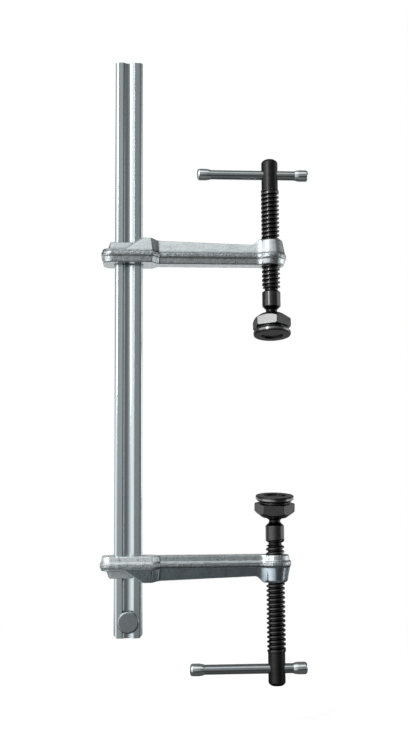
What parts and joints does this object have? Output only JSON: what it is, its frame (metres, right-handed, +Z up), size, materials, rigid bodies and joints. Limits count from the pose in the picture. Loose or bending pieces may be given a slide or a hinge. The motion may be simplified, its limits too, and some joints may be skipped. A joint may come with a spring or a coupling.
{
  "type": "bar clamp",
  "caption": "Bar clamp with sliding forged arms on a grooved steel rail, each with a screw spindle, sliding tommy bar and swivel hexagon pad.",
  "frame": {"origin": "centre of the rail's lower end face", "axes": "+Z up the rail away from the stop rivet, +X from the rail towards the spindles, Y through the rail's thickness with the rivet head at -Y"},
  "size_m": [0.1904, 0.0366, 0.5639],
  "materials": {
    "rail_steel": "bright drawn steel, bare",
    "rivet_steel": "turned steel, dull",
    "arm_zinc": "drop-forged steel, bright zinc plate",
    "spindle_black": "black oxide, rolled thread, oiled",
    "bar_steel": "dark steel, smooth",
    "ball_steel": "hardened, black oxide",
    "seat_steel": "hardened, ground",
    "pad_black": "black oxide, satin",
    "disc_black": "black oxide, worn at the face",
    "ring_steel": "spring wire"
  },
  "bodies": {
    "rail": {"rail": "rail_steel", "stop_rivet": "rivet_steel"},
    "upper_arm": {"upper_arm": "arm_zinc"},
    "upper_ball": {"upper_ball": "ball_steel"},
    "upper_spindle": {"upper_spindle": "spindle_black"},
    "upper_bar": {"upper_tommy_bar": "bar_steel", "upper_bar_cap_left": "bar_steel", "upper_bar_cap_right": "bar_steel"},
    "upper_seat": {"upper_ball_seat": "seat_steel"},
    "upper_pad": {"upper_pad_holder": "pad_black"},
    "upper_disc": {"upper_pad_disc": "disc_black", "upper_pad_clip_ring": "ring_steel"},
    "lower_arm": {"lower_arm": "arm_zinc"},
    "lower_ball": {"lower_ball": "ball_steel"},
    "lower_spindle": {"lower_spindle": "spindle_black"},
    "lower_bar": {"lower_tommy_bar": "bar_steel", "lower_bar_cap_left": "bar_steel", "lower_bar_cap_right": "bar_steel"},
    "lower_seat": {"lower_ball_seat": "seat_steel"},
    "lower_pad": {"lower_pad_holder": "pad_black"},
    "lower_disc": {"lower_pad_disc": "disc_black", "lower_pad_clip_ring": "ring_steel"}
  },
  "joints": [
    {"name": "upper_arm_slide", "type": "slide", "parent": "rail", "child": "upper_arm", "axis": [0, 0, 1], "range_m": [-0.134, 0.165]},
    {"name": "upper_screw_feed", "type": "slide", "parent": "upper_arm", "child": "upper_ball", "axis": [0, 0, -1], "range_m": [-0.0225, 0.047]},
    {"name": "upper_spindle_turn", "type": "hinge", "parent": "upper_ball", "child": "upper_spindle", "pos_m": [0.13, 0, 0.2802], "axis": [0, 0, -1], "range_deg": [-1980, 4185]},
    {"name": "upper_bar_slide", "type": "slide", "parent": "upper_spindle", "child": "upper_bar", "axis": [1, 0, 0], "range_m": [-0.0153, 0.047]},
    {"name": "upper_pad_swivel", "type": "hinge", "parent": "upper_ball", "child": "upper_seat", "pos_m": [0.13, 0, 0.2802], "axis": [0, 0, 1], "continuous": true},
    {"name": "upper_pad_tilt", "type": "hinge", "parent": "upper_seat", "child": "upper_pad", "pos_m": [0.13, 0, 0.2802], "axis": [1, 0, 0], "range_deg": [-3, 21]},
    {"name": "upper_disc_spin", "type": "hinge", "parent": "upper_pad", "child": "upper_disc", "pos_m": [0.13, 0, 0.2802], "axis": [0, 0.1564, 0.9877], "continuous": true},
    {"name": "lower_arm_slide", "type": "slide", "parent": "rail", "child": "lower_arm", "axis": [0, 0, 1], "range_m": [-0.0275, 0.134]},
    {"name": "lower_screw_feed", "type": "slide", "parent": "lower_arm", "child": "lower_ball", "axis": [0, 0, 1], "range_m": [-0.01, 0.0595]},
    {"name": "lower_spindle_turn", "type": "hinge", "parent": "lower_ball", "child": "lower_spindle", "pos_m": [0.13, 0, 0.1082], "axis": [0, 0, 1], "range_deg": [-855, 5310]},
    {"name": "lower_bar_slide", "type": "slide", "parent": "lower_spindle", "child": "lower_bar", "axis": [1, 0, 0], "range_m": [-0.0068, 0.0554]},
    {"name": "lower_pad_swivel", "type": "hinge", "parent": "lower_ball", "child": "lower_seat", "pos_m": [0.13, 0, 0.1082], "axis": [0, 0, 1], "continuous": true},
    {"name": "lower_pad_tilt", "type": "hinge", "parent": "lower_seat", "child": "lower_pad", "pos_m": [0.13, 0, 0.1082], "axis": [1, 0, 0], "range_deg": [-21, 3]},
    {"name": "lower_disc_spin", "type": "hinge", "parent": "lower_pad", "child": "lower_disc", "pos_m": [0.13, 0, 0.1082], "axis": [0, -0.1564, 0.9877], "continuous": true}
  ],
  "couplings": [
    {"joint": "upper_screw_feed", "follows": "upper_spindle_turn", "m_per_rad": 0.00063662},
    {"joint": "lower_screw_feed", "follows": "lower_spindle_turn", "m_per_rad": 0.00063662}
  ]
}
